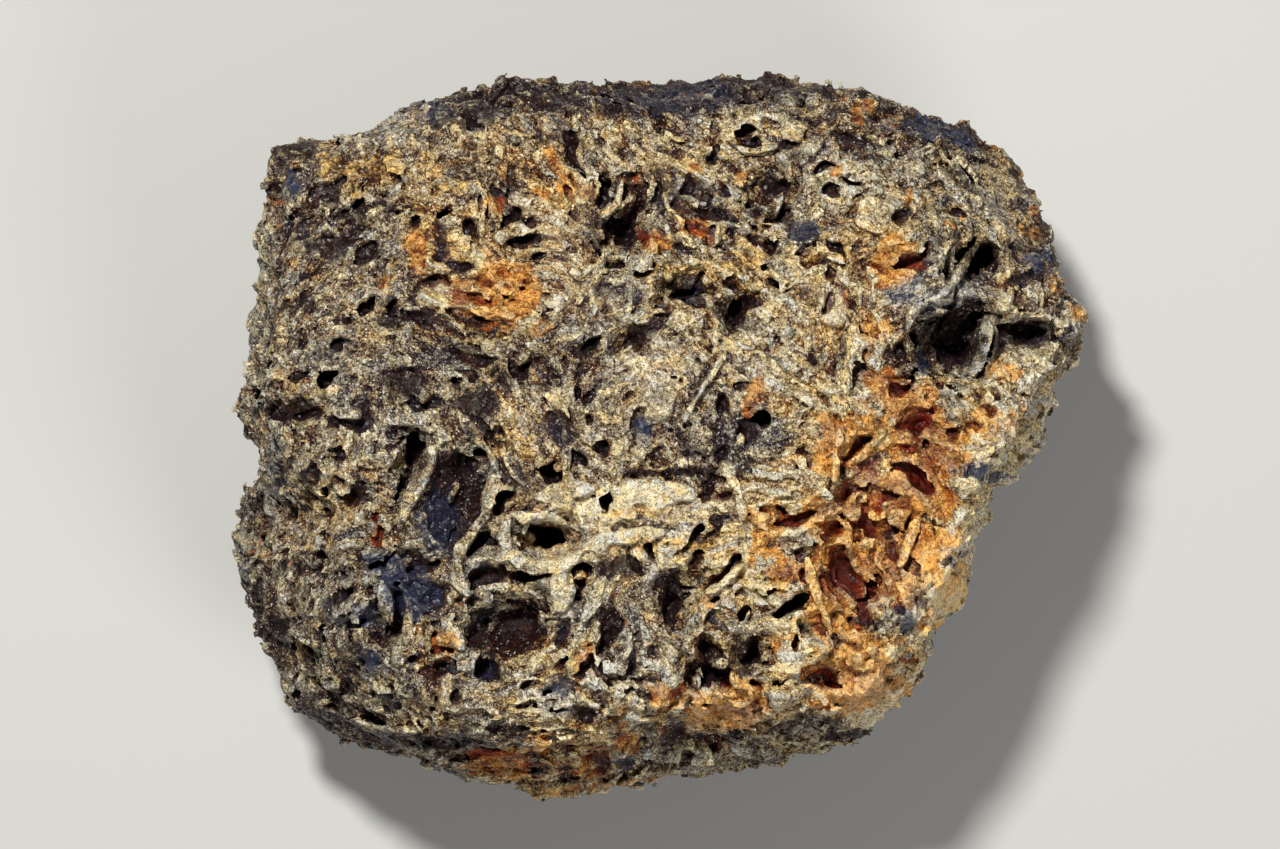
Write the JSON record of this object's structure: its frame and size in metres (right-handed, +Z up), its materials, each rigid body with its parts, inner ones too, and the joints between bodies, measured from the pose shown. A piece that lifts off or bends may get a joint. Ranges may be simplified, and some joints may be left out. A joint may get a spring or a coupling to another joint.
{
  "type": "anglesite specimen",
  "caption": "Loose cavernous lump of intergrown anglesite blades with open vugs, lead-grey patches and rust-stained hollows, lying on its broken underside.",
  "frame": {"origin": "middle of the plan box, on the plane that the specimen rests on", "axes": "+Z up, out of the cellular face; +Y towards the dark upper edge of that face; +X towards its large vugs"},
  "size_m": [0.0862, 0.0734, 0.0442],
  "materials": {
    "anglesite": "granular tan and grey anglesite with a greasy to adamantine glint, blue-grey to black lead mineral, orange to rust iron stain and dark open vugs"
  },
  "bodies": {
    "root": {"anglesite_specimen": "anglesite"}
  },
  "joints": []
}
